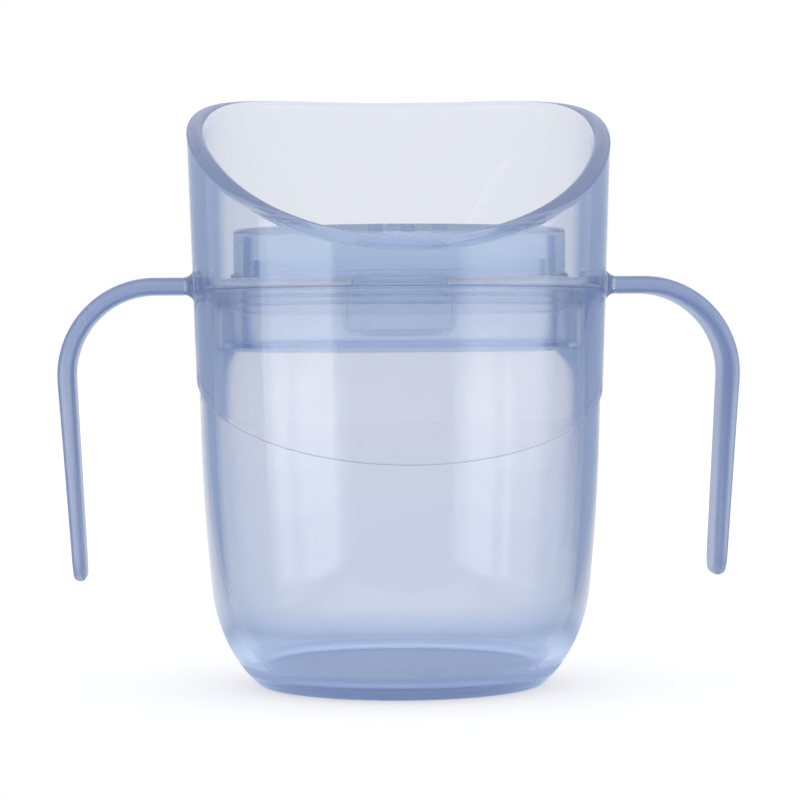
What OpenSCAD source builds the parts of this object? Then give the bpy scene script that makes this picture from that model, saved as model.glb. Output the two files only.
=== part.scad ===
// Training cup with two handles, a scooped drinking rim and a lift-out flow insert.
// Millimetres, +Z up. The origin is the centre of the base on the surface the cup stands on.
// The low drinking edge faces -Y and the handles lie along X.

/* [Cup] */
// Height at the back of the rim
cup_h = 98.5; // [85:0.5:125]
// Outside radius at the top of the cup
rim_r = 35.1; // [29:0.1:45]
// Draft of the upper band and the mouth, in degrees
band_draft = 1.93; // [0.5:0.01:3]
// Radius of the gentle bulge of the lower body, seen from the side
barrel_arc = 330; // [200:1:400]
// Radius of the rounded shoulder above the base
shoulder_arc = 25; // [18:0.5:28]
// Height of the centre of the shoulder's round
shoulder_z = 18.1; // [16:0.1:20]
// Edge round at the foot
foot_edge = 1.5; // [0.5:0.1:2]
// Wall of the lower body
wall = 2.45; // [1.8:0.05:3]
// Floor thickness
floor_t = 2.8; // [2:0.1:4]
// Round between floor and wall inside
floor_edge = 2.5; // [1:0.1:4]

/* [Drinking rim] */
// Slope of the straight front half of the rim, in degrees
scoop_angle = 33; // [25:0.5:38]
// Radius of the curve that levels the rim out
scoop_arc = 85; // [70:1:110]
// Distance behind the axis at which the rim becomes level
scoop_level_y = 33; // [28:0.5:40]

/* [Step line] */
// Height of the insert's ledge above the step line, measured on the axis
step_drop = 14.2; // [10:0.1:20]
// Tilt of the step line, low at the front, in degrees
step_tilt = 22; // [5:0.5:25]
// How far the upper band stands proud of the lower body
step_depth = 0.54; // [0.3:0.01:1]

/* [Handles] */
// Distance from the band to the outside of the handle's leg
handle_reach = 21.9; // [18:0.1:30]
// Height of the handle from the top of its arm to its tip
handle_drop = 49.5; // [38:0.1:62]
// Height of the arm's top above the insert's ledge
arm_rise = 2; // [0:0.1:4]
// Thickness of the strap at the arm
strap_t = 2.8; // [2:0.1:3.6]
// Thickness of the strap at the tip
tip_t = 2.1; // [1.6:0.1:2.6]
// Width of the strap from front to back
strap_w = 9.5; // [7.5:0.5:14]
// Outside radius of the handle's corner
corner_r = 15.9; // [8:0.1:18]
// Inward lean of the leg, in degrees
leg_lean = 4.2; // [0:0.1:8]
// Fillet where the arm meets the band
root_fillet = 1.8; // [0.5:0.1:3]
// Corner round of the tip, seen from the side
tip_corner = 3.5; // [1:0.1:4]

/* [Insert base] */
// Depth of the ledge below the low front edge of the rim, at the outside
seat_drop = 5.7; // [4:0.1:12]
// Width of the ledge that carries the flange
ledge_w = 0.75; // [0.7:0.05:1.4]
// Gap between the flange and the mouth wall
flange_gap = 0.35; // [0.25:0.05:0.5]
// Flange and web thickness
flange_t = 1.6; // [1.2:0.1:2.2]
// Gap between the skirt and the cup wall
skirt_gap = 0.45; // [0.35:0.05:0.6]
// Skirt height below the ledge
skirt_h = 9.5; // [7:0.1:14]
// Skirt wall
skirt_wall = 1.7; // [1.4:0.1:2.2]
// Width of the ring at the foot of the skirt
foot_ring_w = 3; // [2.4:0.1:3.2]
// Thickness of that ring
foot_ring_t = 1; // [0.8:0.1:1.6]
// Gap between the skirt and the sleeve inside it
sleeve_gap = 1.9; // [1.6:0.1:2.4]
// Wall of that sleeve
sleeve_wall = 1; // [0.8:0.1:1.6]
// Height of the collar that locates the cap
collar_h = 3; // [2:0.1:5]
// Wall of that collar
collar_wall = 1.2; // [1:0.1:2]

/* [Insert cap] */
// Width of the flange left outside the cap
brim_w = 3.65; // [3:0.05:6]
// Height of the cap above the web
cap_h = 8.1; // [6:0.1:14]
// Cap wall
cap_wall = 2.3; // [1.4:0.1:2.6]
// Cap top thickness
cap_top_t = 1.1; // [0.9:0.1:2]
// Height of the bead round the foot of the cap
bead_h = 0.9; // [0.6:0.1:3]
// How far that bead stands out
bead_w = 0.5; // [0.3:0.1:1]
// Gap between the cap and the collar
cap_gap = 0.3; // [0.25:0.05:0.5]
// Width of the mark at the front of the cap
notch_w = 7; // [4:0.5:10]
// Height of that mark
notch_h = 0.6; // [0.4:0.1:1]
// Depth of that mark
notch_d = 0.8; // [0.5:0.1:1]
// Diameter of a sip hole
sip_d = 2.2; // [1.5:0.1:3]
// Number of sip holes
sip_count = 3; // [1:1:5]
// Distance of the sip holes from the outside of the cap
sip_inset = 5; // [3.5:0.1:8]
// Spacing of the sip holes round the cap, in degrees
sip_pitch = 13; // [10:1:20]
// Diameter of the air hole at the back
vent_d = 1.6; // [1:0.1:2.5]

/* [Seal and valve] */
// Height of the seal ring
seal_h = 2.4; // [1.8:0.1:3.2]
// Depth of the seal's groove in the skirt
groove_d = 0.9; // [0.6:0.1:1.2]
// Gap between the groove and the flange
groove_drop = 0.4; // [0.3:0.1:1]
// Gap between the seal's lips and the cup wall
seal_gap = 0.3; // [0.25:0.05:0.4]
// Outside radius of the valve's cup
valve_r = 9.4; // [7:0.1:12]
// Depth of the valve's cup below the web
valve_h = 7; // [5:0.1:9]
// Wall of the valve
valve_wall = 0.8; // [0.6:0.1:1.6]
// Corner round of the valve's cup
valve_corner = 3; // [1.8:0.1:4]
// How much narrower the valve's neck is than its cup
neck_inset = 1.7; // [1:0.1:2.2]
// Thickness of the lip that holds the valve on the web
lip_t = 0.9; // [0.6:0.1:1.4]
// Length of the valve's slit
slit_l = 8; // [4:0.5:10]
// Width of the slit
slit_w = 0.4; // [0.3:0.1:0.6]

/* [Hidden] */
$fn = 128;
over = 1;
arc_turn = 5;
arc_run = 3;
half_room = rim_r + handle_reach;
shell_blue = [0.56, 0.63, 0.80];
soft_blue = [0.66, 0.72, 0.86];

// Points along an arc, no more than arc_turn degrees or arc_run millimetres apart
function arc(c, r, from, to, first = 0) =
    let (
        turn = to - from,
        steps = ceil(max(abs(turn) / arc_turn, r * abs(turn) * PI / 180 / arc_run))
    )
    [for (i = [first : steps]) let (a = from + turn * i / steps) c + r * [cos(a), sin(a)]];

// Drinking rim, seen from the side with Y across
scoop_start = [scoop_level_y - scoop_arc * sin(scoop_angle), cup_h - scoop_arc * (1 - cos(scoop_angle))];
function scoop_z(y) = scoop_start[1] + (y - scoop_start[0]) * tan(scoop_angle);
function band_r(z) = rim_r - (cup_h - z) * tan(band_draft);
lip_z = scoop_z(-rim_r);

// Heights
seat_z = lip_z - seat_drop;
step_z = seat_z - step_drop;
web_z = seat_z + flange_t;
skirt_z = seat_z - skirt_h;
cap_z = web_z + cap_h;
groove_z = seat_z - groove_drop - seal_h;
arm_z = seat_z + arm_rise;
tip_z = arm_z - handle_drop;

// Radii of the cup
barrel_r = band_r(step_z) - step_depth;
barrel_c = [barrel_r - barrel_arc, step_z];
round_gap = barrel_arc - shoulder_arc;
shoulder_c = [barrel_c[0] + sqrt(pow(round_gap, 2) - pow(step_z - shoulder_z, 2)), shoulder_z];
step_top_z = step_z + rim_r * tan(step_tilt);
step_low_z = step_z - rim_r * tan(step_tilt);
seat_r = barrel_r - wall;
mouth_r = seat_r + ledge_w;

// Radii of the insert
flange_r = mouth_r - flange_gap;
skirt_r = seat_r - skirt_gap;
groove_r = skirt_r - groove_d;
sleeve_r = skirt_r - skirt_wall - sleeve_gap;
cap_r = flange_r - brim_w;
cap_in_r = cap_r - cap_wall;
collar_r = cap_in_r - cap_gap;
neck_r = valve_r - neck_inset;
seal_lip_r = seal_h / 6;

// Handle, seen from the front with X across
wall_x = band_r(arm_z);
corner_c = [wall_x + handle_reach - corner_r, arm_z - corner_r];
corner_in_r = corner_r - strap_t;
tip_r = tip_t / 2;
leg_fall = corner_c[1] - tip_z - tip_r;
tip_x = corner_c[0] + (corner_r - tip_r - leg_fall * sin(leg_lean)) / cos(leg_lean);
tip_c = [tip_x, tip_z + tip_r];
tip_turn = atan2(leg_fall, tip_x - corner_c[0]);
leg_lean_in = tip_turn - acos((corner_in_r + tip_r) / norm(tip_c - corner_c));

// A ring-shaped solid between two radii and two heights
module ring(inner_r, outer_r, low, high) {
    rotate_extrude() translate([inner_r, low]) square([outer_r - inner_r, high - low]);
}

// Side of the bowl from its floor up to the step line, drawn in from the outside by inset:
// edge round, shoulder arc and barrel arc, each tangent to the next
function bowl_side(inset, floor_z, edge_r) =
    let (
        edge_z = floor_z + edge_r,
        edge_reach = shoulder_arc - inset - edge_r,
        edge_turn = asin((edge_z - shoulder_z) / edge_reach),
        edge_c = [shoulder_c[0] + edge_reach * cos(edge_turn), edge_z],
        side_turn = asin((shoulder_z - step_z) / round_gap)
    )
    concat(
        arc(edge_c, edge_r, -90, edge_turn),
        arc(shoulder_c, shoulder_arc - inset, edge_turn, side_turn, first = 1),
        arc(barrel_c, barrel_arc - inset, side_turn, 0, first = 1)
    );

// Half section of the bowl, with a straight wall of the given draft above the step line
module bowl_section(inset, floor_z, edge_r, top_z, draft) {
    top_r = barrel_r - inset + (top_z - step_z) * tan(draft);
    polygon(concat([[0, floor_z]], bowl_side(inset, floor_z, edge_r), [[top_r, top_z], [0, top_z]]));
}

// Half section of the upper band, solid to the axis
module band_section() {
    polygon([[0, step_low_z], [band_r(step_low_z), step_low_z], [rim_r, cup_h], [0, cup_h]]);
}

// Half section of the mouth above the ledge
module mouth_section() {
    top_z = cup_h + over;
    top_r = mouth_r + (top_z - seat_z) * tan(band_draft);
    polygon([[0, seat_z], [mouth_r, seat_z], [top_r, top_z], [0, top_z]]);
}

// Everything above the tilted step line
module above_step() {
    room = 2 * cup_h;
    translate([0, 0, step_z])
        rotate([step_tilt, 0, 0])
            translate([-room / 2, -room / 2, 0])
                cube(room);
}

// Everything under the scooped rim: a straight slope that a tangent arc levels out at the back
module under_rim() {
    low = -over;
    front = -rim_r - over;
    back = rim_r + over;
    rotate([90, 0, 90])
        linear_extrude(height = 2 * back, center = true)
            polygon(concat(
                [[back, low], [front, low], [front, scoop_z(front)]],
                arc([scoop_level_y, cup_h - scoop_arc], scoop_arc, 90 + scoop_angle, 90),
                [[back, cup_h]]
            ));
}

// The cup without its hollow
module cup_outside() {
    rotate_extrude() bowl_section(0, 0, foot_edge, step_top_z, band_draft);
    intersection() {
        rotate_extrude() band_section();
        above_step();
    }
}

module cup_body() {
    color(shell_blue)
        difference() {
            intersection() {
                cup_outside();
                under_rim();
            }
            rotate_extrude() {
                bowl_section(wall, floor_t, floor_edge, seat_z, 0);
                mouth_section();
            }
        }
}

// Front view of the right handle: arm with root fillets, round corner, leg that leans in and thins, round tip
module handle_front() {
    arm_low = arm_z - strap_t;
    root_x = wall_x - strap_t;
    fillet_x = wall_x + root_fillet;
    polygon(concat(
        [[root_x, arm_z + root_fillet]],
        arc([fillet_x, arm_z + root_fillet], root_fillet, 180, 270),
        arc(corner_c, corner_r, 90, -leg_lean),
        arc(tip_c, tip_r, -leg_lean, -180 - leg_lean_in),
        arc(corner_c, corner_in_r, -leg_lean_in, 90),
        arc([fillet_x, arm_low - root_fillet], root_fillet, 90, 180),
        [[root_x, arm_low - root_fillet]]
    ));
}

// Side view of a handle: a strap with rounded corners at its tip
module handle_side() {
    half = strap_w / 2 - tip_corner;
    translate([-strap_w / 2, tip_z + tip_corner]) square([strap_w, handle_drop]);
    translate([-half, tip_z]) square([2 * half, tip_corner]);
    for (side = [-1, 1])
        translate([side * half, tip_z + tip_corner]) circle(r = tip_corner);
}

module right_handle() {
    color(shell_blue)
        difference() {
            intersection() {
                rotate([90, 0, 0]) linear_extrude(height = strap_w, center = true) handle_front();
                rotate([90, 0, 90]) linear_extrude(height = half_room) handle_side();
            }
            cup_outside();
        }
}

module left_handle() {
    mirror([1, 0, 0]) right_handle();
}

module insert_base() {
    color(shell_blue)
        difference() {
            union() {
                ring(neck_r, flange_r, seat_z, web_z);
                ring(skirt_r - skirt_wall, skirt_r, skirt_z, seat_z);
                ring(skirt_r - foot_ring_w, skirt_r, skirt_z, skirt_z + foot_ring_t);
                ring(sleeve_r - sleeve_wall, sleeve_r, skirt_z, seat_z);
                ring(collar_r - collar_wall, collar_r, web_z, web_z + collar_h);
            }
            ring(groove_r, skirt_r + over, groove_z, groove_z + seal_h);
        }
}

module insert_cap() {
    color(shell_blue)
        difference() {
            union() {
                ring(cap_in_r, cap_r, web_z, cap_z);
                ring(cap_in_r, cap_r + bead_w, web_z, web_z + bead_h);
                translate([0, 0, cap_z - cap_top_t]) cylinder(r = cap_r, h = cap_top_t);
            }
            translate([-notch_w / 2, -cap_r - over, cap_z - notch_h]) cube([notch_w, notch_d + over, notch_h + over]);
            for (i = [0 : sip_count - 1])
                rotate((i - (sip_count - 1) / 2) * sip_pitch)
                    translate([0, sip_inset - cap_r, cap_z - cap_top_t - over])
                        cylinder(d = sip_d, h = cap_top_t + 2 * over);
            translate([0, cap_r - sip_inset, cap_z - cap_top_t - over])
                cylinder(d = vent_d, h = cap_top_t + 2 * over);
        }
}

// Soft ring with two round lips
module seal_ring() {
    lip_x = seat_r - seal_gap - seal_lip_r;
    color(soft_blue)
        rotate_extrude() {
            translate([groove_r, groove_z]) square([lip_x - groove_r, seal_h]);
            for (at = [1, 3])
                translate([lip_x, groove_z + at * seal_h / 4]) circle(r = seal_lip_r);
        }
}

// Outline of the valve's cup from the axis, drawn in by inset
module valve_section(inset) {
    corner = valve_corner - inset;
    flat = valve_r - valve_corner;
    low = seat_z - valve_h + inset;
    translate([0, low]) square([flat, corner]);
    translate([flat, low + corner]) circle(r = corner);
    translate([0, low + corner]) square([valve_r - inset, seat_z - low - corner]);
}

// Soft cup with a neck through the web, a lip above it and a slit in its floor
module flow_valve() {
    bore_r = neck_r - valve_wall;
    roof_z = seat_z - valve_wall;
    color(soft_blue)
        difference() {
            union() {
                rotate_extrude() valve_section(0);
                translate([0, 0, seat_z]) cylinder(r = neck_r, h = flange_t);
                translate([0, 0, web_z]) cylinder(r = valve_r, h = lip_t);
            }
            rotate_extrude()
                intersection() {
                    valve_section(valve_wall);
                    square([valve_r, roof_z]);
                }
            translate([0, 0, roof_z - over]) cylinder(r = bore_r, h = valve_wall + flange_t + lip_t + 2 * over);
            translate([0, 0, seat_z - valve_h]) cube([slit_l, slit_w, 2 * valve_wall + over], center = true);
        }
}

cup_body();
left_handle();
right_handle();
insert_base();
insert_cap();
seal_ring();
flow_valve();
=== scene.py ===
import math

import bpy
import numpy as np
from mathutils import Matrix, Vector


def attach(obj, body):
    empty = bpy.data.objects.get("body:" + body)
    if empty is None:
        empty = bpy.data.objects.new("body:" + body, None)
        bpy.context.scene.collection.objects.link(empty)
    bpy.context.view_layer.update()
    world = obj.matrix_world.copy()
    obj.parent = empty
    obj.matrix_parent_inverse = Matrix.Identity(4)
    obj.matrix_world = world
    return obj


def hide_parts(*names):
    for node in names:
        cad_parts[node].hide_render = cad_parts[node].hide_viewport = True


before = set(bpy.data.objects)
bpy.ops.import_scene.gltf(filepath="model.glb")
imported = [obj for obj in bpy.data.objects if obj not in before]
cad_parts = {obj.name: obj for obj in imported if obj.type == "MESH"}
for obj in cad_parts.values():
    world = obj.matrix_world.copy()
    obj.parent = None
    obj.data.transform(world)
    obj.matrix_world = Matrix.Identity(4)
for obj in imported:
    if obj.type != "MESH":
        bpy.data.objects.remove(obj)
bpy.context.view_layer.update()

mm = 0.001
scene = bpy.context.scene
print("frame loaded:", sorted(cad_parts))


def skin(name, grid, firstPole=None, lastPole=None):
    # quads between the rows of a grid that closes round its columns;
    # an end closes in a pole, and with no poles the last row meets the first
    rows, cols = grid.shape[:2]
    at = np.arange(rows * cols).reshape(rows, cols)
    ring = np.vstack([at, at[:1]]) if firstPole is None and lastPole is None else at
    side = np.roll(ring, -1, axis=1)
    faces = np.stack([ring[:-1], side[:-1], side[1:], ring[1:]], -1).reshape(-1, 4).tolist()
    points = grid.reshape(-1, 3)
    for pole, row, turnedOver in ((firstPole, at[0], True), (lastPole, at[-1], False)):
        if pole is not None:
            tip = np.full(cols, len(points))
            nextOne = np.roll(row, -1)
            fan = np.stack([nextOne, row, tip] if turnedOver else [row, nextOne, tip], -1)
            faces += fan.tolist()
            points = np.vstack([points, [pole]])
    mesh = bpy.data.meshes.new(name)
    mesh.from_pydata((points * mm).tolist(), [], faces)
    mesh.update()
    if signedVolume(mesh) < 0:
        mesh.flip_normals()
    piece = bpy.data.objects.new(name, mesh)
    scene.collection.objects.link(piece)
    return piece


def signedVolume(mesh):
    # sum of the tetrahedra from the origin to each triangle
    mesh.calc_loop_triangles()
    co = np.empty(len(mesh.vertices) * 3)
    mesh.vertices.foreach_get("co", co)
    tri = np.empty(len(mesh.loop_triangles) * 3, int)
    mesh.loop_triangles.foreach_get("vertices", tri)
    a, b, c = co.reshape(-1, 3)[tri.reshape(-1, 3)].transpose(1, 0, 2)
    return float(np.einsum("ij,ij->i", a, np.cross(b, c)).sum() / 6)


def smooth(piece, sharpAngle):
    # smooth shading, broken at edges that turn by more than the angle in degrees
    piece.data.shade_smooth()
    piece.data.set_sharp_from_angle(angle=math.radians(sharpAngle))


def carve(piece, tools, operation):
    # joins or cuts with closed tool meshes, keeps the result and removes the tools
    for tool in tools:
        step = piece.modifiers.new("carve", "BOOLEAN")
        step.operation = operation
        step.solver = "EXACT"
        step.object = tool
    graph = bpy.context.evaluated_depsgraph_get()
    carved = bpy.data.meshes.new_from_object(piece.evaluated_get(graph))
    old = piece.data
    piece.modifiers.clear()
    piece.data = carved
    carved.name = old.name = piece.name
    bpy.data.meshes.remove(old)
    for tool in tools:
        bpy.data.objects.remove(tool)


def turned(profile, columns):
    # a profile of radius and height turned about the axis
    around = np.linspace(0, 2 * np.pi, columns, endpoint=False)
    r, z = profile[:, :1], profile[:, 1:]
    return np.stack(np.broadcast_arrays(r * np.cos(around), r * np.sin(around), z + 0 * around), -1)


def filleted(corners, radius, steps=4, closed=True):
    # each corner of an outline is cut back by the fillet's length and bridged by a parabola
    sideShare = 0.45  # the most that one fillet takes of a side
    p = np.array(corners, float)
    before, after = np.roll(p, 1, 0) - p, np.roll(p, -1, 0) - p
    runA, runB = np.linalg.norm(before, axis=1), np.linalg.norm(after, axis=1)
    unitA, unitB = before / runA[:, None], after / runB[:, None]
    half = np.arccos(np.clip((unitA * unitB).sum(1), -1, 1)) / 2
    wanted = np.broadcast_to(radius, len(p)) / np.tan(half)
    cut = np.minimum(wanted, sideShare * np.minimum(runA, runB))
    start, end = p + unitA * cut[:, None], p + unitB * cut[:, None]
    t = np.linspace(0, 1, steps + 1)[None, :, None]
    curve = (1 - t) ** 2 * start[:, None] + 2 * t * (1 - t) * p[:, None] + t ** 2 * end[:, None]
    if not closed:
        curve[0], curve[-1] = p[0], p[-1]
    return curve.reshape(-1, 2)


def arcPoints(centre, radius, fromAngle, toAngle, count):
    # points on a circle between two angles in degrees
    a = np.radians(np.linspace(fromAngle, toAngle, count))
    return np.stack([centre[0] + radius * np.cos(a), centre[1] + radius * np.sin(a)], -1)


# cup: one moulding of bowl, band, rim and two handles, in millimetres and degrees
cupSize = {
    "height": 98.5, "rimRadius": 35.1, "bandDraft": 1.93,
    "barrelArc": 330.0, "shoulderArc": 25.0, "shoulderHeight": 18.1,
    "footEdge": 1.5, "wall": 2.45, "floor": 2.8, "floorEdge": 2.5,
    "scoopAngle": 33.0, "scoopArc": 85.0, "scoopLevel": 33.0,
    "seatDrop": 5.7, "stepDrop": 14.2, "stepTilt": 22.0,
    "stepDepth": 0.54, "stepClear": 0.45, "stepEase": 8.0,
    "ledgeWidth": 0.75, "ledgeRound": 0.2, "lipOutside": 1.3, "lipInside": 1.1,
    "poleRing": 5.0, "sharpAngle": 40.0, "columns": 320,
}
# rows of the cup's grid, and rounds in which the heights of step and rim settle
cupRows = {
    "disc": 5, "footOutside": (7, 18), "barrel": 24, "band": 26, "lip": 8, "lipTop": 4,
    "mouth": 22, "ledge": 5, "bowl": 34, "footInside": (9, 16), "stepRounds": 3, "rimRounds": 4,
}
# rows across the step at the front: share of its depth, and rise in millimetres;
# the last row rises by stepClear
stepShape = {
    "out": (0, 0.02, 0.07, 0.16, 0.84, 0.93, 0.98, 1, 1),
    "rise": (-0.1, -0.045, -0.015, 0, 0, 0.015, 0.045, 0.1),
}

c = cupSize
draft = math.tan(math.radians(c["bandDraft"]))
tilt = math.tan(math.radians(c["stepTilt"]))
scoopTurn = math.radians(c["scoopAngle"])
scoopSine, scoopCosine = math.sin(scoopTurn), math.cos(scoopTurn)
scoopStart = (
    c["scoopLevel"] - c["scoopArc"] * scoopSine,
    c["height"] - c["scoopArc"] * (1 - scoopCosine),
)


def rimHeight(y):
    # a straight slope at the front, levelled out at the back by a tangent arc
    slope = scoopStart[1] + (y - scoopStart[0]) * scoopSine / scoopCosine
    reach = np.clip(y - c["scoopLevel"], -c["scoopArc"] * scoopSine, 0)
    curve = c["height"] - c["scoopArc"] + np.sqrt(c["scoopArc"] ** 2 - reach ** 2)
    return np.where(y < scoopStart[0], slope, curve)


def bandRadius(z):
    # a cone that narrows from the rim down by the draft
    return c["rimRadius"] - (c["height"] - z) * draft


seatHeight = float(rimHeight(np.array(-c["rimRadius"]))) - c["seatDrop"]
stepHeight = seatHeight - c["stepDrop"]
barrelRadius = bandRadius(stepHeight) - c["stepDepth"]
barrelCentre = barrelRadius - c["barrelArc"]
roundGap = c["barrelArc"] - c["shoulderArc"]
shoulderReach = math.sqrt(roundGap ** 2 - (stepHeight - c["shoulderHeight"]) ** 2)
shoulderCentre = (barrelCentre + shoulderReach, c["shoulderHeight"])
sideTurn = math.degrees(math.asin((c["shoulderHeight"] - stepHeight) / roundGap))
seatRadius = barrelRadius - c["wall"]
mouthRadius = seatRadius + c["ledgeWidth"]


def barrelSide(z, inset, slope):
    # bulged barrel below the step height, straight above it
    low = np.minimum(z - stepHeight, 0)
    bulge = barrelCentre + np.sqrt((c["barrelArc"] - inset) ** 2 - low ** 2)
    return bulge + np.maximum(z - stepHeight, 0) * slope


def footCurve(inset, floorHeight, edge, counts):
    # floor edge round and shoulder arc, from the floor up to the barrel
    reach = c["shoulderArc"] - inset - edge
    turn = math.degrees(math.asin((floorHeight + edge - c["shoulderHeight"]) / reach))
    centre = (shoulderCentre[0] + reach * math.cos(math.radians(turn)), floorHeight + edge)
    return np.vstack([
        arcPoints(centre, edge, -90, turn, counts[0]),
        arcPoints(shoulderCentre, c["shoulderArc"] - inset, turn, sideTurn, counts[1])[1:],
    ])


def spread(low, high, count):
    # rows from one height to another, the heights changing round the cup
    return low + (high - low) * np.linspace(0, 1, count)[:, None]


def cupGrid():
    # radius and height row by row, from the base up the outside, over the lip
    # and down to the floor
    n = cupRows
    around = np.linspace(0, 2 * np.pi, c["columns"], endpoint=False)
    toBack = np.sin(around)[None, :]
    rows = []

    def add(r, z):
        # rows of radius and height, spread over all columns
        rows.append(np.stack(np.broadcast_arrays(r + 0 * toBack, z + 0 * toBack), -1))

    # outside, from the base up to the step
    foot = footCurve(0, 0, c["footEdge"], n["footOutside"])
    disc = np.linspace(c["poleRing"], foot[0, 0], n["disc"])[:-1, None]
    add(disc, np.zeros_like(disc))
    add(foot[:, :1], foot[:, 1:])
    stepAt = stepHeight + barrelRadius * toBack * tilt
    for _ in range(n["stepRounds"]):
        stepAt = stepHeight + barrelSide(stepAt, 0, draft) * toBack * tilt
    back = np.clip(toBack, 0, 1)
    clear = c["stepClear"] + (c["stepEase"] - c["stepClear"]) * back
    z = spread(foot[-1, 1], stepAt - clear + stepShape["rise"][0], n["barrel"])[1:]
    add(barrelSide(z, 0, draft), z)
    # step: out across the tilted plane with a small round at each edge, eased out towards the back
    out = np.array(stepShape["out"])[:, None]
    rise = np.array([*stepShape["rise"], c["stepClear"]])[:, None]
    along = np.linspace(0, 1, len(out))[:, None]
    out = out + (along ** 2 * (3 - 2 * along) - out) * back
    rise = rise + ((2 * along - 1) * c["stepEase"] - rise) * back
    inner = barrelSide(stepAt + rise, 0, draft)
    r = inner + out * (bandRadius(stepAt + rise) - inner)
    add(r, stepAt + rise + (r - inner) * toBack * tilt)
    # band and lip
    outerRim = innerRim = np.full_like(toBack, c["height"])
    for _ in range(n["rimRounds"]):
        outerRim = rimHeight(bandRadius(outerRim) * toBack)
        innerRim = rimHeight((mouthRadius + (innerRim - seatHeight) * draft) * toBack)
    bandLow = stepAt + clear + c["stepDepth"] * toBack * tilt
    z = spread(bandLow, outerRim - c["lipOutside"], n["band"])[1:]
    add(bandRadius(z), z)
    lip = np.radians(np.linspace(0, 90, n["lip"]))[1:, None]
    outside, inside = bandRadius(outerRim), mouthRadius + (innerRim - seatHeight) * draft
    r = outside - c["lipOutside"] * (1 - np.cos(lip))
    add(r, rimHeight(r * toBack) - c["lipOutside"] * (1 - np.sin(lip)))
    r = spread(outside - c["lipOutside"], inside + c["lipInside"], n["lipTop"])[1:-1]
    add(r, rimHeight(r * toBack))
    lip = lip[::-1]
    r = inside + c["lipInside"] * (1 - np.cos(lip))
    add(r, rimHeight(r * toBack) - c["lipInside"] * (1 - np.sin(lip)))
    # mouth, ledge and inside of the bowl, going down
    z = spread(innerRim - c["lipInside"], seatHeight + c["ledgeRound"], n["mouth"])
    add(mouthRadius + (z - seatHeight) * draft, z)
    run = 2.0  # straight run past both corners of the ledge, dropped again
    ledge = filleted([
        (mouthRadius, seatHeight + run), (mouthRadius, seatHeight),
        (seatRadius, seatHeight), (seatRadius, seatHeight - run),
    ], c["ledgeRound"], n["ledge"], closed=False)[n["ledge"] + 1:-n["ledge"] - 1]
    add(ledge[1:, :1], ledge[1:, 1:])
    floor = footCurve(c["wall"], c["floor"], c["floorEdge"], n["footInside"])[::-1]
    z = np.linspace(ledge[-1, 1], floor[0, 1], n["bowl"])[1:-1, None]
    add(barrelSide(z, c["wall"], 0), z)
    add(floor[:, :1], floor[:, 1:])
    disc = np.linspace(floor[-1, 0], c["poleRing"], n["disc"])[1:, None]
    add(disc, np.full_like(disc, c["floor"]))
    profile = np.concatenate(rows)
    r, z = profile[..., 0], profile[..., 1]
    return np.stack([r * np.cos(around), r * np.sin(around), z], -1)


# handles: a strap at each side, bent and hanging free, in millimetres and degrees
handleSize = {
    "reach": 21.9, "drop": 49.5, "armRise": 2.0, "strap": 2.8, "tip": 2.1, "width": 9.5,
    "corner": 15.9, "lean": 4.2, "tipCorner": 3.5, "edgeRound": 1.3, "edgeShare": 0.95,
    "rootFillet": 1.8, "rootStart": 0.15, "rootRun": 0.2, "sunk": 1.4, "tipOpen": 2.0,
}
# rows along the strap, and points on each rounded corner of its section
handleRows = {"root": 14, "arm": 8, "corner": 30, "leg": 26, "tip": 9, "round": 6}


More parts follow.
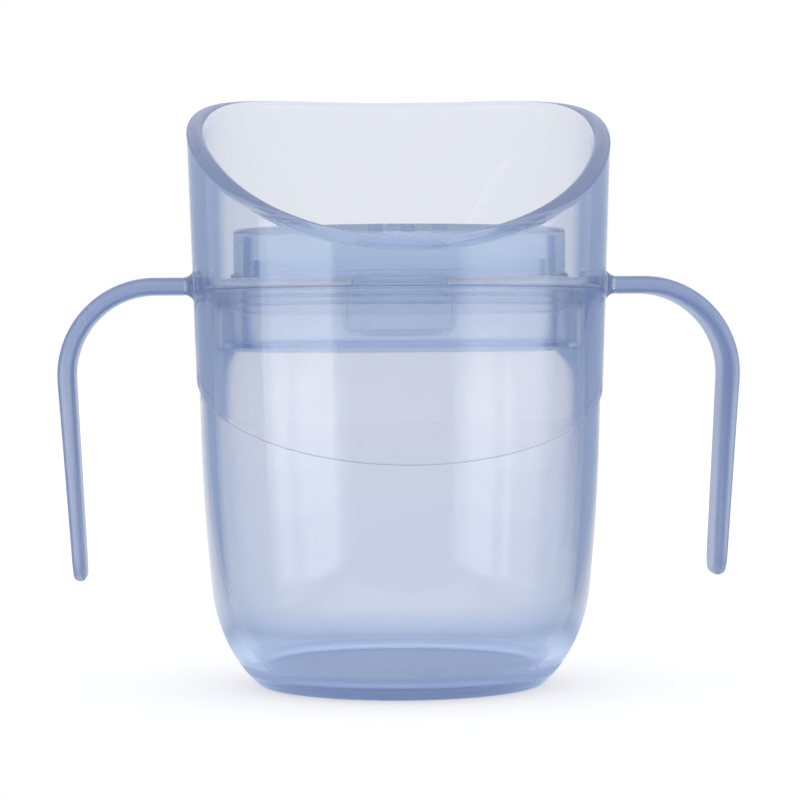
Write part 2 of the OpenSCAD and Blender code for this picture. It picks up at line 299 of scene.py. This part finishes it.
def handleGrid(side):
    # strap section carried from inside the wall along the arm, round the corner
    # and down the leg to a round tip
    h, n = handleSize, handleRows
    armTop = seatHeight + h["armRise"]
    wallAt = float(bandRadius(armTop))
    tipHeight, tipRadius = armTop - h["drop"], h["tip"] / 2
    centre = np.array([wallAt + h["reach"] - h["corner"], armTop - h["corner"]])
    lean = math.radians(h["lean"])
    fall = centre[1] - tipHeight - tipRadius
    tipReach = (h["corner"] - tipRadius - fall * math.sin(lean)) / math.cos(lean)
    tipCentre = np.array([centre[0] + tipReach, tipHeight + tipRadius])
    inner = h["corner"] - h["strap"]
    toTip = tipCentre - centre
    tangent = math.acos((inner + tipRadius) / np.linalg.norm(toTip))
    leanIn = math.degrees(math.atan2(-toTip[1], toTip[0]) - tangent)

    # outer and inner edge of the strap, seen from the front
    rootEnd = wallAt + h["rootFillet"] + h["rootRun"]
    armX = np.concatenate([
        np.linspace(wallAt - h["sunk"], rootEnd, n["root"]),
        np.linspace(rootEnd, centre[0], n["arm"])[1:],
    ])
    outer = [
        np.stack([armX, np.full_like(armX, armTop)], -1),
        arcPoints(centre, h["corner"], 90, -h["lean"], n["corner"])[1:],
    ]
    under = [
        np.stack([armX, np.full_like(armX, armTop - h["strap"])], -1),
        arcPoints(centre, inner, 90, -leanIn, n["corner"])[1:],
    ]
    outerEnd = arcPoints(tipCentre, tipRadius, -h["lean"], h["tipOpen"] - 90, n["tip"])
    underEnd = arcPoints(tipCentre, tipRadius, -180 - leanIn, -h["tipOpen"] - 90, n["tip"])
    along = np.linspace(0, 1, n["leg"])[1:-1, None]
    outer += [outer[-1][-1] + (outerEnd[0] - outer[-1][-1]) * along, outerEnd]
    under += [under[-1][-1] + (underEnd[0] - under[-1][-1]) * along, underEnd]
    outer, under = np.vstack(outer), np.vstack(under)
    middle, across = (outer + under) / 2, outer - under
    halfThick = np.linalg.norm(across, axis=1) / 2
    across = across / (2 * halfThick[:, None])
    depth = np.clip(tipHeight + h["tipCorner"] - middle[:, 1], 0, h["tipCorner"])
    halfWidth = h["width"] / 2 - h["tipCorner"] + np.sqrt(h["tipCorner"] ** 2 - depth ** 2)

    # rounded rectangle section with its outward normals
    turn = np.linspace(0, np.pi / 2, n["round"])
    quarters = turn[None, :] + np.arange(4)[:, None] * np.pi / 2
    normal = np.stack([np.cos(quarters), np.sin(quarters)], -1).reshape(-1, 2)
    signs = np.array([[1, 1], [-1, 1], [-1, -1], [1, -1]]).repeat(n["round"], 0)
    edge = np.minimum(h["edgeRound"], h["edgeShare"] * halfThick)
    u = signs[None, :, 0] * (halfThick - edge)[:, None] + normal[None, :, 0] * edge[:, None]
    v = signs[None, :, 1] * (halfWidth - edge)[:, None] + normal[None, :, 1] * edge[:, None]

    def place(u, v):
        # points set out from the strap's middle, u across its thickness and v across its width
        x, z = (middle[:, i:i + 1] + u * across[:, i:i + 1] for i in (0, 1))
        return np.stack([x, v, z], -1)

    # fillet at the wall: the section grows by a quarter round as it nears the band
    at = place(u, v)
    away = np.hypot(at[..., 0], at[..., 1]) - bandRadius(at[..., 2])
    near = h["rootFillet"] - np.clip(away + h["rootStart"], 0, h["rootFillet"])
    grow = h["rootFillet"] - np.sqrt(h["rootFillet"] ** 2 - near ** 2)
    at = place(u + grow * normal[None, :, 0], v + grow * normal[None, :, 1])
    at[..., 0] *= side
    first, last = at[0].mean(0), np.array([side * tipCentre[0], 0, tipHeight])
    return at, first, last


def buildCup():
    # the turned bowl and its two straps, joined into one closed mesh
    cup = skin("cupMoulding", cupGrid(), (0, 0, 0), (0, 0, c["floor"]))
    straps = [skin("strap", *handleGrid(side)) for side in (-1, 1)]
    carve(cup, straps, "UNION")
    smooth(cup, c["sharpAngle"])
    return cup


cup = buildCup()
print("cup moulding:", len(cup.data.polygons), "faces")

# insert: base, seal, valve and cap
insertSize = {
    "flangeGap": 0.35, "flange": 1.6, "skirtGap": 0.45, "skirtHeight": 9.5, "skirtWall": 1.7,
    "footRing": 3.0, "footRingThick": 1.0, "sleeveGap": 1.9, "sleeveWall": 1.0,
    "collarHeight": 3.0, "collarWall": 1.2,
    "edge": 0.18, "rest": 0.04, "sharpAngle": 40.0, "columns": 240,
}
capSize = {
    "brim": 3.65, "height": 8.1, "wall": 2.3, "top": 1.1, "beadHeight": 0.9, "bead": 0.5,
    "gap": 0.3, "edge": 0.22, "topEdge": 0.6, "poleRing": 8.0,
    "markWidth": 7.0, "markHeight": 0.6, "markDepth": 0.8,
    "sipHole": 2.2, "sipInset": 5.0, "sipPitch": 13.0, "airHole": 1.6, "holeEdge": 0.15,
}
sealSize = {
    "height": 2.4, "grooveDepth": 0.9, "grooveDrop": 0.4, "gap": 0.3, "rest": 0.03,
    "lipBack": 0.15, "valley": 0.1, "lipRows": 9, "sharpAngle": 50.0,
}
valveSize = {
    "radius": 9.4, "depth": 7.0, "wall": 0.8, "corner": 3.0, "neckInset": 1.7, "lip": 0.9,
    "slit": 8.0, "slitWidth": 0.4, "poleRing": 2.0, "steps": 7, "columns": 120,
    # rounds from the roof inside, over the lip and the neck, to the roof outside
    "edges": (0.2, 0.2, 0.25, 0.25, 0.15, 0.1, 0.1, 0.2),
}
# how far cutters reach past the faces they cut, and the columns of a round one
cutterSize = {"past": 1.0, "ahead": 2.0, "columns": 32}

webTop = seatHeight + insertSize["flange"]
flangeRadius = mouthRadius - insertSize["flangeGap"]
skirtRadius = seatRadius - insertSize["skirtGap"]
skirtLow = seatHeight - insertSize["skirtHeight"]
grooveLow = seatHeight - sealSize["grooveDrop"] - sealSize["height"]
grooveRadius = skirtRadius - sealSize["grooveDepth"]
capRadius = flangeRadius - capSize["brim"]
capInside = capRadius - capSize["wall"]
capTop = webTop + capSize["height"]
collarRadius = capInside - capSize["gap"]
neckRadius = valveSize["radius"] - valveSize["neckInset"]


def buildInsertBase():
    # web, skirt, sleeve, foot ring and collar in one outline, turned
    s = insertSize
    seat = seatHeight + s["rest"]
    skirtIn, ringIn = skirtRadius - s["skirtWall"], skirtRadius - s["footRing"]
    sleeveOut = skirtIn - s["sleeveGap"]
    sleeveIn = sleeveOut - s["sleeveWall"]
    ringTop, grooveTop = skirtLow + s["footRingThick"], grooveLow + sealSize["height"]
    collarIn, collarTop = collarRadius - s["collarWall"], webTop + s["collarHeight"]
    outline = filleted([
        (neckRadius, seatHeight), (sleeveIn, seatHeight), (sleeveIn, skirtLow),
        (sleeveOut, skirtLow), (sleeveOut, seatHeight), (skirtIn, seatHeight), (skirtIn, ringTop),
        (ringIn, ringTop), (ringIn, skirtLow), (skirtRadius, skirtLow), (skirtRadius, grooveLow),
        (grooveRadius, grooveLow), (grooveRadius, grooveTop), (skirtRadius, grooveTop),
        (skirtRadius, seat), (flangeRadius, seat), (flangeRadius, webTop),
        (collarRadius, webTop), (collarRadius, collarTop),
        (collarIn, collarTop), (collarIn, webTop), (neckRadius, webTop),
    ], s["edge"])
    piece = skin("insertBase", turned(outline, s["columns"]))
    smooth(piece, s["sharpAngle"])
    return piece


def rod(radius, x, y, low, high, flare):
    # a round cutter through a plate, wider at both faces where it breaks the edges
    start, end = low - cutterSize["past"], high + (high - low)
    profile = np.array([
        [radius + flare, start], [radius + flare, low], [radius, low + flare],
        [radius, high - flare], [radius + flare, high], [radius + flare, end],
    ])
    grid = turned(profile, cutterSize["columns"]) + [x, y, 0]
    return skin("cutter", grid, (x, y, start), (x, y, end))


def block(low, high):
    # a square cutter: four corners carried from one height to another
    xs = np.array([low[0], high[0], high[0], low[0]])
    ys = np.array([low[1], low[1], high[1], high[1]])
    grid = np.stack([np.stack([xs, ys, np.full(4, z)], -1) for z in (low[2], high[2])])
    middle = (np.array(low) + high)[:2] / 2
    return skin("cutter", grid, (*middle, low[2]), (*middle, high[2]))


def buildCap():
    # shallow turned cap with a bead round its foot, cut for a front mark,
    # sip holes and an air hole
    s = capSize
    foot, under = webTop + insertSize["rest"], capTop - s["top"]
    beadRadius, beadTop = capRadius + s["bead"], webTop + s["beadHeight"]
    profile = filleted([
        (s["poleRing"], under), (capInside, under), (capInside, foot), (beadRadius, foot),
        (beadRadius, beadTop), (capRadius, beadTop), (capRadius, capTop), (s["poleRing"], capTop),
    ], [s["edge"]] * 6 + [s["topEdge"], 0], closed=False)
    grid = turned(profile, insertSize["columns"])
    piece = skin("insertCap", grid, (0, 0, under), (0, 0, capTop))
    cutters = [block(
        (-s["markWidth"] / 2, -capRadius - cutterSize["ahead"], capTop - s["markHeight"]),
        (s["markWidth"] / 2, s["markDepth"] - capRadius, capTop + cutterSize["past"]),
    )]
    reach = capRadius - s["sipInset"]
    for turn in (-1, 0, 1):
        a = math.radians(turn * s["sipPitch"])
        x, y = reach * math.sin(a), -reach * math.cos(a)
        cutters.append(rod(s["sipHole"] / 2, x, y, under, capTop, s["holeEdge"]))
    cutters.append(rod(s["airHole"] / 2, 0, reach, under, capTop, s["holeEdge"]))
    carve(piece, cutters, "DIFFERENCE")
    smooth(piece, insertSize["sharpAngle"])
    return piece


def buildSeal():
    # soft turned ring: half-round lips at a quarter and three quarters of its height,
    # a valley between them and a flat back in the groove
    s = sealSize
    lipRound = s["height"] / 6
    lipAt = seatRadius - s["gap"] - lipRound
    low, high = grooveLow + s["rest"], grooveLow + s["height"] - s["rest"]
    lips = [
        arcPoints((lipAt, grooveLow + at * s["height"] / 4), lipRound, -90, 90, s["lipRows"])
        for at in (1, 3)
    ]
    backAt, lipEnd = grooveRadius + s["rest"], lipAt - s["lipBack"]
    back = np.array([(lipEnd, high), (backAt, high), (backAt, low), (lipEnd, low)])
    valley = np.array([(lipAt - s["valley"], grooveLow + s["height"] / 2)])
    outline = np.vstack([lips[0], valley, lips[1], back])
    piece = skin("sealRing", turned(outline, insertSize["columns"]))
    smooth(piece, s["sharpAngle"])
    return piece


def buildValve():
    # soft turned cup hung in the web by a neck and a lip, with a slit in its floor
    s = valveSize
    bore, inside = neckRadius - s["wall"], s["radius"] - s["wall"]
    low, rest = seatHeight - s["depth"], insertSize["rest"]
    floorTop, roof, lipTop = low + s["wall"], seatHeight - s["wall"], webTop + s["lip"]
    profile = filleted([
        (s["poleRing"], floorTop), (inside, floorTop), (inside, roof), (bore, roof),
        (bore, lipTop), (s["radius"], lipTop), (s["radius"], webTop + rest),
        (neckRadius - rest, webTop + rest), (neckRadius - rest, seatHeight - rest),
        (s["radius"], seatHeight - rest), (s["radius"], low), (s["poleRing"], low),
    ], [0, s["corner"] - s["wall"], *s["edges"], s["corner"], 0], s["steps"], closed=False)
    piece = skin("flowValve", turned(profile, s["columns"]), (0, 0, floorTop), (0, 0, low))
    slit = block(
        (-s["slit"] / 2, -s["slitWidth"] / 2, low - cutterSize["past"]),
        (s["slit"] / 2, s["slitWidth"] / 2, floorTop + cutterSize["past"]),
    )
    carve(piece, [slit], "DIFFERENCE")
    smooth(piece, insertSize["sharpAngle"])
    return piece


insertBase, insertCap = buildInsertBase(), buildCap()
sealRing, flowValve = buildSeal(), buildValve()
for piece in (insertBase, insertCap, sealRing, flowValve):
    print(piece.name + ":", len(piece.data.polygons), "faces")


def addNode(tree, kind, inputs=None, **settings):
    # a node with its settings; an input given as another node's output is linked,
    # any other value is set
    node = tree.nodes.new(kind)
    for key, value in settings.items():
        setattr(node, key, value)
    for key, value in (inputs or {}).items():
        if isinstance(value, bpy.types.NodeSocket):
            tree.links.new(value, node.inputs[key])
        else:
            node.inputs[key].default_value = value
    return node


def calc(tree, operation, *terms, clamp=False):
    # one operation on numbers or outputs
    inputs = dict(enumerate(terms))
    return addNode(tree, "ShaderNodeMath", inputs, operation=operation, use_clamp=clamp).outputs[0]


def measure(tree, operation, *vectors):
    # one number from vectors: a length or a dot product
    inputs = dict(enumerate(vectors))
    return addNode(tree, "ShaderNodeVectorMath", inputs, operation=operation).outputs["Value"]


def remap(tree, value, start, end, toStart=0.0, toEnd=1.0, **settings):
    # a value carried from one range to another and held inside it
    inputs = {
        "Value": value, "From Min": start, "From Max": end, "To Min": toStart, "To Max": toEnd,
    }
    return addNode(tree, "ShaderNodeMapRange", inputs, **settings).outputs["Result"]


def mix(tree, share, first, second):
    # the first colour with a share of the second
    inputs = {"Fac": share, "Color1": first, "Color2": second}
    return addNode(tree, "ShaderNodeMixRGB", inputs).outputs["Color"]


def metres(lengths):
    # each length in millimetres times a thousandth
    return [length * mm for length in lengths]


# marks of the moulded skin; the streaks' scale is each finish's own grain
skinMarks = {
    "stretch": (1, 1, 0.12), "streaks": {"Detail": 3.0, "Roughness": 0.55},
    "streakColour": (0.3, 0.4, 0.7),
    "patches": {"Scale": 45.0, "Detail": 4.0, "Roughness": 0.6}, "rubFrom": (0.5, 0.75),
    "hairs": {"Scale": 900.0, "Detail": 2.0, "Roughness": 0.5}, "hairShare": 0.12,
}
# straps hold more colour from this radius on, and the lower part of their legs a share of it
deepFrom = {"radius": (35.1, 35.7), "leg": (44.0, 62.0), "legShare": 0.6}
# shade along the front of the step: half width, share of the deep colour,
# and the radius and depth over which it comes in
stepLine = {"half": 0.3, "share": 1.0, "radius": (31.2, 32.2), "front": (0.0, -14.0)}


def mouldSkinGroup():
    # moulded surface: flow streaks drawn out along the height, rubbed patches and fine hairs,
    # with a deeper colour on the straps, and painted shade in bands at two heights and along the
    # step
    group = bpy.data.node_groups.new("mouldSkin", "ShaderNodeTree")
    sockets = {
        ("INPUT", "Vector"): ("Place",),
        ("INPUT", "Color"): ("Colour", "Deep And Shade Colour"),
        ("INPUT", "Float"): (
            "Grain", "Gloss", "Rub", "Tint Depth",
            "Painted Shade Low", "Painted Shade High", "Painted Shade Half", "Painted Shade Share", "Deep Rub",
        ),
        ("OUTPUT", "Color"): ("Tint",),
        ("OUTPUT", "Float"): ("Roughness", "Height"),
    }
    for (way, kind), names in sockets.items():
        for name in names:
            group.interface.new_socket(name, in_out=way, socket_type="NodeSocket" + kind)
    given = addNode(group, "NodeGroupInput").outputs
    place = given["Place"]
    m = skinMarks
    stretched = {"Vector": place, "Scale": m["stretch"]}
    drawn = addNode(group, "ShaderNodeMapping", stretched).outputs["Vector"]
    streaks, patches, hairs = (
        addNode(group, "ShaderNodeTexNoise", inputs).outputs["Fac"]
        for inputs in (
            {"Vector": drawn, "Scale": given["Grain"], **m["streaks"]},
            {"Vector": place, **m["patches"]},
            {"Vector": place, **m["hairs"]},
        )
    )
    split = addNode(group, "ShaderNodeSeparateXYZ", {0: place}).outputs
    level = addNode(group, "ShaderNodeVectorMath", {0: place, 1: (1, 1, 0)}, operation="MULTIPLY")
    reach = measure(group, "LENGTH", level.outputs["Vector"])
    # straps beyond the wall
    beyond = remap(group, reach, *metres(deepFrom["radius"]))
    leg = remap(group, split["Z"], *metres(deepFrom["leg"]), toStart=deepFrom["legShare"])
    strap = calc(group, "MULTIPLY", beyond, leg)
    # painted shade in bands at two heights, full over the inner half of their width
    offsets = [
        calc(group, "ABSOLUTE", calc(group, "SUBTRACT", split["Z"], given[name]))
        for name in ("Painted Shade Low", "Painted Shade High")
    ]
    near = remap(group, calc(group, "MINIMUM", *offsets), given["Painted Shade Half"], 0.0)
    within = calc(group, "MULTIPLY", near, 2.0, clamp=True)
    strapColourAndBandShade = calc(group, "MAXIMUM", strap, calc(group, "MULTIPLY", within, given["Painted Shade Share"]))
    # shade along the front of the tilted step
    slant = measure(group, "DOT_PRODUCT", place, (0, -tilt, 1))
    fromStep = calc(group, "ABSOLUTE", calc(group, "SUBTRACT", slant, stepHeight * mm))
    line = remap(group, fromStep, stepLine["half"] * mm, 0.0, toEnd=stepLine["share"])
    outer = remap(group, reach, *metres(stepLine["radius"]))
    front = remap(group, split["Y"], *metres(stepLine["front"]))
    onStep = calc(group, "MULTIPLY", line, calc(group, "MULTIPLY", outer, front))
    # tint: the deep colour by place, the straps' own deeper colour and painted shade
    # in the bands and along the step, then the streaks
    deepAndShade = mix(group, calc(group, "MAXIMUM", strapColourAndBandShade, onStep), given["Colour"], given["Deep And Shade Colour"])
    streaked = calc(group, "MULTIPLY", streaks, given["Tint Depth"])
    tint = mix(group, streaked, deepAndShade, (*m["streakColour"], 1))
    # roughness: polished, dulled in rubbed patches, frosted on the straps and in the bands
    rubbed = remap(group, patches, *m["rubFrom"])
    dull = calc(group, "MULTIPLY_ADD", rubbed, given["Rub"], given["Gloss"])
    frosted = calc(group, "MAXIMUM", within, beyond)
    coarse = calc(group, "MULTIPLY_ADD", frosted, given["Deep Rub"], dull)
    # height: streaks with a little fine texture
    height = calc(group, "ADD", streaks, calc(group, "MULTIPLY", hairs, m["hairShare"]))
    addNode(group, "NodeGroupOutput", {"Tint": tint, "Roughness": coarse, "Height": height})
    return group


mouldSkin = mouldSkinGroup()

# cloud: density of the body per metre; albedo: the share of each colour that it scatters;
# the two shade heights in millimetres, where painted shade darkens the surface; grain: scale per
# metre
noBand = {
    "deepAndShade": (1.0, 1.0, 1.0), "paintedShadeAt": (0.0, 0.0), "paintedShadeHalf": 1.0,
    "paintedShadeShare": 0.0, "deepRub": 0.0,
}
finishes = {
    "shellPlastic": {
        "ior": 1.49, "tint": (0.95, 0.965, 0.99), "cloud": 69.0, "albedo": (0.66, 0.76, 1.0),
        # the deep colour: the straps' own deeper colour, also painted shade round the bottom of the
        # cup and along the step
        "deepAndShade": (0.5, 0.59, 0.79), "paintedShadeAt": (3.0, 3.0), "paintedShadeHalf": 1.4,
        "paintedShadeShare": 0.5, "deepRub": 0.3,
        "grain": 55.0, "gloss": 0.02, "rub": 0.04, "streaks": 0.03, "bump": 0.015,
    },
    "basePlastic": {
        "ior": 1.03, "tint": (0.957, 0.975, 1.0), "cloud": 9.0, "albedo": (0.85, 0.9, 1.0),
        # the deep colour: painted shade in bands at the foot ring and the web
        "deepAndShade": (0.82, 0.87, 0.955), "paintedShadeAt": (55.9, 65.7), "paintedShadeHalf": 1.3,
        "paintedShadeShare": 1.0, "deepRub": 0.0,
        "grain": 75.0, "gloss": 0.14, "rub": 0.02, "streaks": 0.03, "bump": 0.02,
    },
    "capPlastic": {
        "ior": 1.04, "tint": (0.82, 0.89, 0.975), "cloud": 36.0, "albedo": (0.84, 0.91, 1.0),
        **noBand, "grain": 75.0, "gloss": 0.05, "rub": 0.02, "streaks": 0.03, "bump": 0.02,
    },
    "sealSilicone": {
        "ior": 1.03, "tint": (0.95, 0.97, 1.0), "cloud": 100.0, "albedo": (0.88, 0.92, 1.0),
        **noBand, "grain": 140.0, "gloss": 0.08, "rub": 0.1, "streaks": 0.06, "bump": 0.1,
    },
    "valveSilicone": {
        "ior": 1.015, "tint": (0.97, 0.98, 1.0), "cloud": 20.0, "albedo": (0.88, 0.92, 1.0),
        **noBand, "grain": 140.0, "gloss": 0.08, "rub": 0.1, "streaks": 0.06, "bump": 0.1,
    },
}
bumpDepth = 0.4  # millimetres


def milkyPlastic(name):
    # clear glossy skin over a body that scatters and soaks up light;
    # both together stop the same share of every colour
    f = finishes[name]
    material = bpy.data.materials.new(name)
    material.use_nodes = True
    tree = material.node_tree
    tree.nodes.clear()
    surface = addNode(tree, "ShaderNodeGroup", {
        "Place": addNode(tree, "ShaderNodeTexCoord").outputs["Object"],
        "Colour": (*f["tint"], 1), "Deep And Shade Colour": (*f["deepAndShade"], 1),
        "Grain": f["grain"], "Gloss": f["gloss"], "Rub": f["rub"], "Tint Depth": f["streaks"],
        "Painted Shade Low": f["paintedShadeAt"][0] * mm, "Painted Shade High": f["paintedShadeAt"][1] * mm,
        "Painted Shade Half": f["paintedShadeHalf"] * mm, "Painted Shade Share": f["paintedShadeShare"], "Deep Rub": f["deepRub"],
    }, node_tree=mouldSkin).outputs
    relief = {"Height": surface["Height"], "Strength": f["bump"], "Distance": bumpDepth * mm}
    body = addNode(tree, "ShaderNodeBsdfPrincipled", {
        "Transmission Weight": 1.0, "IOR": f["ior"],
        "Base Color": surface["Tint"], "Roughness": surface["Roughness"],
        "Normal": addNode(tree, "ShaderNodeBump", relief).outputs["Normal"],
    })
    bulk = {"Color": (*f["albedo"], 1), "Density": f["cloud"]}
    inside = addNode(tree, "ShaderNodeAddShader", {
        0: addNode(tree, "ShaderNodeVolumeScatter", bulk).outputs["Volume"],
        1: addNode(tree, "ShaderNodeVolumeAbsorption", bulk).outputs["Volume"],
    })
    ends = {"Surface": body.outputs["BSDF"], "Volume": inside.outputs["Shader"]}
    addNode(tree, "ShaderNodeOutputMaterial", ends)
    return material


plastics = {name: milkyPlastic(name) for name in finishes}
for piece, finish, body, slot, nodes in (
    (cup, "shellPlastic", "cup", "shell_plastic", ("cup_body", "left_handle", "right_handle")),
    (insertBase, "basePlastic", "insert", "insert_plastic", ("insert_base",)),
    (insertCap, "capPlastic", "cap", "insert_plastic", ("insert_cap",)),
    (sealRing, "sealSilicone", "insert", "soft_silicone", ("seal_ring",)),
    (flowValve, "valveSilicone", "insert", "soft_silicone", ("flow_valve",)),
):
    piece.data.materials.clear()
    piece.data.materials.append(plastics[finish])
    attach(piece, body)
    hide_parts(*nodes)
print("materials:", sorted(plastics))

# camera in millimetres with its clip in metres; angles of the white above and behind in degrees
studio = {
    "camera": (-27.3, -446.2, 56.6), "aim": (0.0, 0.0, 46.7), "roll": -0.3,
    "lens": 122.0, "sensor": 36.0, "clip": (0.02, 20.0),
    "wallColour": (0.36, 0.45, 0.64), "topFrom": (12.0, 35.0), "backdropHalf": (13.3, 18.7),
}
floorSize = {
    # half width and place of the front and the back edge in metres,
    # gap under the foot in millimetres
    "front": (0.07, -0.09), "back": (0.8, 1.8), "drop": 0.2,
    "colour": (0.58, 0.62, 0.7), "roughness": 0.9, "glow": (0.56, 0.53, 0.47),
    # painted light and shadow of the floor, seen through the plastic and in reflections, by
    # distance
    # from the middle of the cup in metres: a painted pool of light right under the cup, a painted
    # shadow round it, brighter farther out; let go from this share of the half width on
    "through": {
        0.03: (0.5, 0.6, 0.76), 0.05: (0.02, 0.06, 0.15), 0.07: (0.2, 0.26, 0.34),
        0.11: (0.38, 0.37, 0.34), 1.2: (0.46, 0.41, 0.33),
    },
    "letGo": 0.5,
}
# each lamp: azimuth from straight in front and half width of each panel in degrees,
# radiance of all panels together
softboxes = {
    "leftBox": {"azimuth": -62.0, "halves": (22.0, 22.0, 22.0, 22.0, 22.0), "glow": 1.9},
    "rightBox": {"azimuth": 60.0, "halves": (31.0, 29.0, 27.0, 25.0, 22.0), "glow": 1.6},
}
# panels of both lamps in metres: lower ends, common top, distance of the first, step to the next
panelSize = {"lows": (-0.02, -0.07, -0.13, -0.22, -0.38), "top": 0.13, "away": 0.9, "apart": 0.01}
bounces = {"max_bounces": 64, "transmission_bounces": 64, "glossy_bounces": 64, "volume_bounces": 8}


def buildCamera():
    # looks from its place to the aim, rolled about the line of sight
    s = studio
    data = bpy.data.cameras.new("camera")
    data.lens, data.sensor_width, data.sensor_fit = s["lens"], s["sensor"], "HORIZONTAL"
    data.clip_start, data.clip_end = s["clip"]
    camera = bpy.data.objects.new("camera", data)
    place, aim = Vector(s["camera"]) * mm, Vector(s["aim"]) * mm
    roll = Matrix.Rotation(math.radians(s["roll"]), 3, "Z")
    look = (aim - place).to_track_quat("-Z", "Y").to_matrix() @ roll
    camera.matrix_world = Matrix.Translation(place) @ look.to_4x4()
    scene.collection.objects.link(camera)
    scene.camera = camera


def buildSoftbox(name, s):
    # panels behind one another with a common top, so the light fades out downwards
    # and to the sides
    a, p = math.radians(s["azimuth"]), panelSize
    for i, (half, low) in enumerate(zip(s["halves"], p["lows"])):
        away = p["away"] + i * p["apart"]
        data = bpy.data.lights.new(name, "AREA")
        data.shape = "RECTANGLE"
        data.size, data.size_y = 2 * away * math.tan(math.radians(half)), p["top"] - low
        data.energy = s["glow"] / len(p["lows"]) * math.pi * data.size * data.size_y
        lamp = bpy.data.objects.new(name, data)
        aim = Vector((0, 0, (p["top"] + low) / 2))
        place = aim + away * Vector((math.sin(a), -math.cos(a), 0))
        look = (aim - place).to_track_quat("-Z", "Y").to_matrix().to_4x4()
        lamp.matrix_world = Matrix.Translation(place) @ look
        lamp.visible_camera = False
        scene.collection.objects.link(lamp)


def buildRoom():
    # pale blue walls round the horizon, white above and behind the cup;
    # the camera sees white everywhere
    world = bpy.data.worlds.new("room")
    scene.world = world
    world.use_nodes = True
    tree = world.node_tree
    tree.nodes.clear()
    forward = (Vector(studio["aim"]) - Vector(studio["camera"])).normalized()
    full, none = (math.cos(math.radians(a)) for a in studio["backdropHalf"])
    low, high = (math.sin(math.radians(a)) for a in studio["topFrom"])
    ray = addNode(tree, "ShaderNodeTexCoord").outputs["Generated"]
    backdrop = remap(tree, measure(tree, "DOT_PRODUCT", ray, forward), none, full)
    above = remap(tree, addNode(tree, "ShaderNodeSeparateXYZ", {0: ray}).outputs["Z"], low, high)
    seen = addNode(tree, "ShaderNodeLightPath").outputs["Is Camera Ray"]
    white = calc(tree, "MAXIMUM", calc(tree, "MAXIMUM", backdrop, above), seen)
    colour = mix(tree, white, (*studio["wallColour"], 1), (1, 1, 1, 1))
    light = addNode(tree, "ShaderNodeBackground", {"Color": colour})
    addNode(tree, "ShaderNodeOutputWorld", {"Surface": light.outputs["Background"]})


def buildFloor():
    # pale floor that keeps the shadow; its own light makes it white to the camera, and in
    # reflections and through the plastic it shows painted light and shade: a painted pool of light
    # under the cup and a painted blue shadow round it
    f = floorSize
    (near, front), (far, back), z = f["front"], f["back"], -f["drop"] * mm
    mesh = bpy.data.meshes.new("floor")
    outline = [
        (-near, front, z), (near, front, z), (near, 0, z),
        (far, back, z), (-far, back, z), (-near, 0, z),
    ]
    mesh.from_pydata(outline, [], [tuple(range(len(outline)))])
    floor = bpy.data.objects.new("floor", mesh)
    scene.collection.objects.link(floor)
    material = bpy.data.materials.new("paleFloor")
    material.use_nodes = True
    tree = material.node_tree
    tree.nodes.clear()
    place = addNode(tree, "ShaderNodeTexCoord").outputs["Object"]
    # painted light and shadow through the plastic and in reflections, by distance, faded out
    # towards the sides
    reach, farthest = measure(tree, "LENGTH", place), max(f["through"])
    through = addNode(tree, "ShaderNodeValToRGB", {"Fac": calc(tree, "DIVIDE", reach, farthest)})
    stops = through.color_ramp.elements
    while len(stops) < len(f["through"]):
        stops.new(1.0)
    for stop, (distance, light) in zip(stops, sorted(f["through"].items())):
        stop.position, stop.color = distance / farthest, (*light, 1)
    split = addNode(tree, "ShaderNodeSeparateXYZ", {0: place}).outputs
    widened = calc(tree, "MULTIPLY_ADD", split["Y"], (far - near) / back, near)
    half = calc(tree, "MAXIMUM", widened, near)
    aside = calc(tree, "DIVIDE", calc(tree, "ABSOLUTE", split["X"]), half)
    inside = remap(tree, aside, 1.0, f["letGo"], interpolation_type="SMOOTHSTEP")
    paintedThroughFaded = mix(tree, inside, (0, 0, 0, 1), through.outputs["Color"])
    # its own light shows to the camera as even white, and in reflections and through the plastic as
    # the painted light and shadow
    rays = addNode(tree, "ShaderNodeLightPath").outputs
    clear = calc(tree, "MAXIMUM", rays["Is Glossy Ray"], rays["Is Transmission Ray"])
    body = addNode(tree, "ShaderNodeBsdfPrincipled", {
        "Base Color": (*f["colour"], 1), "Roughness": f["roughness"], "Specular IOR Level": 0.0,
        "Emission Color": mix(tree, rays["Is Camera Ray"], paintedThroughFaded, (*f["glow"], 1)),
        "Emission Strength": calc(tree, "MAXIMUM", clear, rays["Is Camera Ray"]),
    })
    addNode(tree, "ShaderNodeOutputMaterial", {"Surface": body.outputs["BSDF"]})
    mesh.materials.append(material)


buildCamera()
for name, s in softboxes.items():
    buildSoftbox(name, s)
buildRoom()
buildFloor()
scene.view_settings.view_transform = "Standard"
for name, count in bounces.items():
    setattr(scene.cycles, name, count)
print("studio ready")
